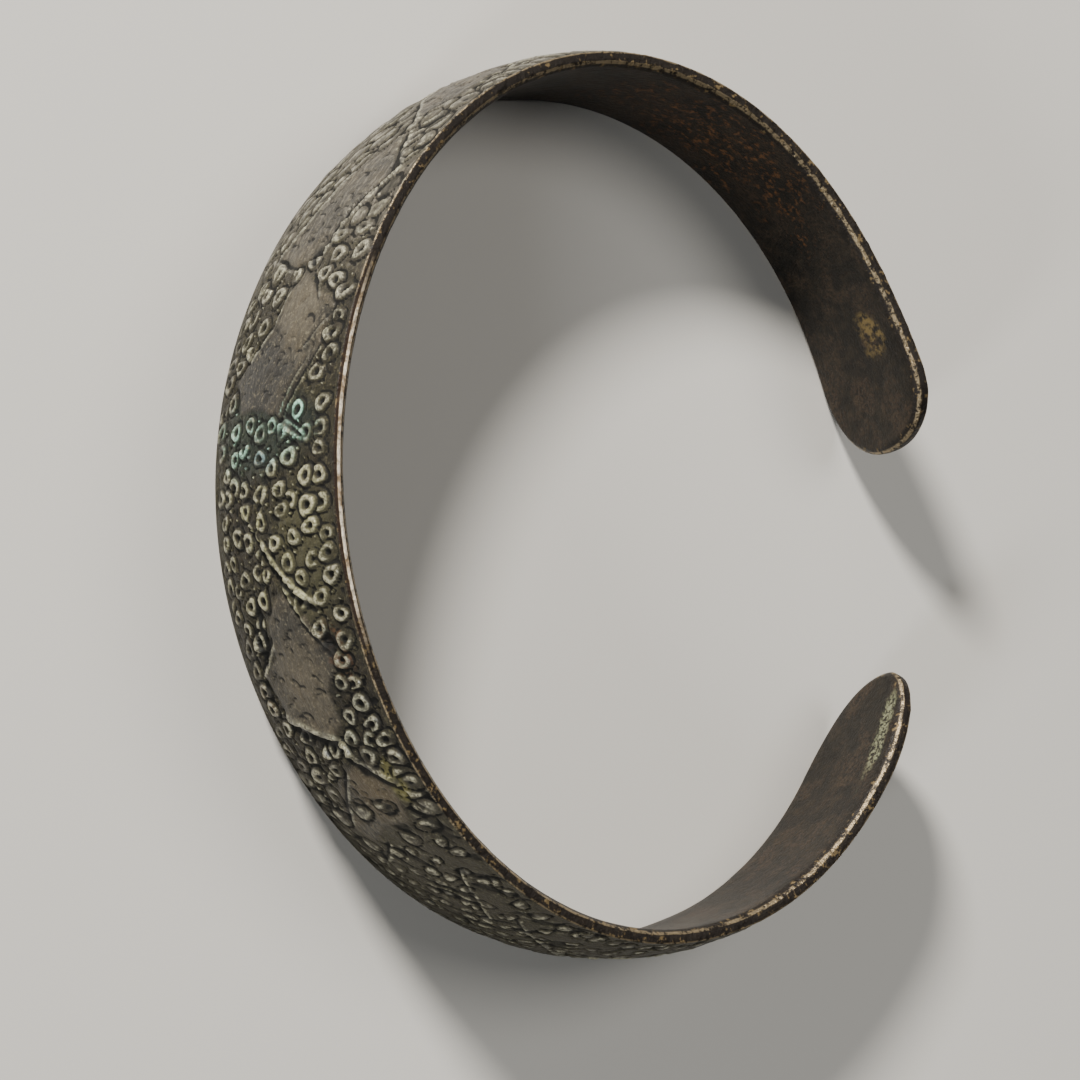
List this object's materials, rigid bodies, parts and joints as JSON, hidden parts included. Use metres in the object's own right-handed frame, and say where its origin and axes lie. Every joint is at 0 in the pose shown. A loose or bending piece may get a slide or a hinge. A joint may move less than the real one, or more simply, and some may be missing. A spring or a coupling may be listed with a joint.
{
  "type": "arm ring",
  "caption": "Open bronze arm ring: a flat band that tapers to rounded tongue ends, its outer face punched with ring-and-dot marks around plain lozenge fields.",
  "frame": {"origin": "centre of the box in X and Y, at the lower edge that the ring lies on", "axes": "+Z along the hoop's axis, upwards as the ring lies; +X towards the gap between the ends; +Y along the hoop's longer width"},
  "size_m": [0.061, 0.0738, 0.0189],
  "materials": {
    "bronze": "dark brown patina with olive and pale green corrosion, worn to metal along the edges"
  },
  "bodies": {
    "root": {"arm_ring": "bronze"}
  },
  "joints": []
}
